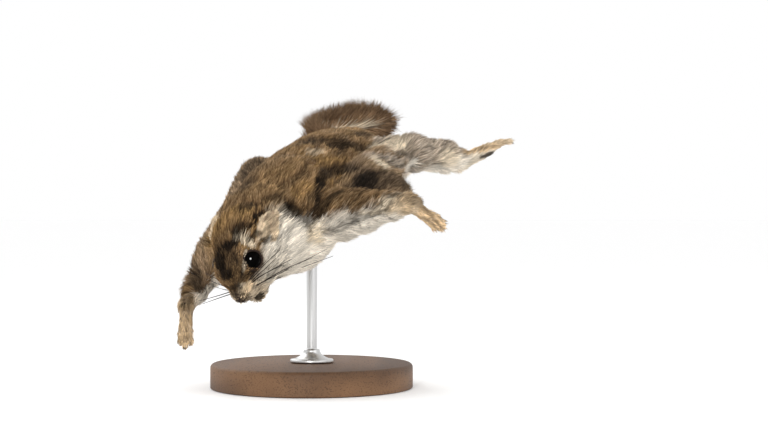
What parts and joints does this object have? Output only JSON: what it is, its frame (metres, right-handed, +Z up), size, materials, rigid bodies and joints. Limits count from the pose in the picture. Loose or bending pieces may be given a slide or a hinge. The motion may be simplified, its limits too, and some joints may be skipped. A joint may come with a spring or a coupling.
{
  "type": "flying squirrel display model",
  "caption": "Life-size flying squirrel in a leap, limbs spread and gliding membranes open, held by a rod on a flat oval base",
  "frame": {"origin": "middle of the underside of the stand's base, on the floor", "axes": "+Z up; the picture's camera looks along +Y with +X to its right; the animal's nose points mostly to -Y and down"},
  "size_m": [0.1384, 0.2123, 0.1258],
  "materials": {
    "coat": "short dense fur",
    "bare_skin": "thin haired skin",
    "eyes": "wet black gloss",
    "wood": "oiled dark hardwood",
    "steel": "brushed rod"
  },
  "bodies": {
    "root": {"torso": "coat", "neck": "coat", "head": "coat", "eye_left": "eyes", "eye_right": "eyes", "ear_left": "bare_skin", "ear_right": "bare_skin", "upper_arm_left": "coat", "forearm_left": "coat", "hand_left": "bare_skin", "upper_arm_right": "coat", "forearm_right": "coat", "hand_right": "bare_skin", "thigh_left": "coat", "shank_left": "coat", "foot_left": "bare_skin", "thigh_right": "coat", "shank_right": "coat", "foot_right": "bare_skin", "patagium_left": "coat", "patagium_right": "coat", "tail": "coat", "stand_base": "wood", "stand_collar": "steel", "stand_rod": "steel"}
  },
  "joints": []
}
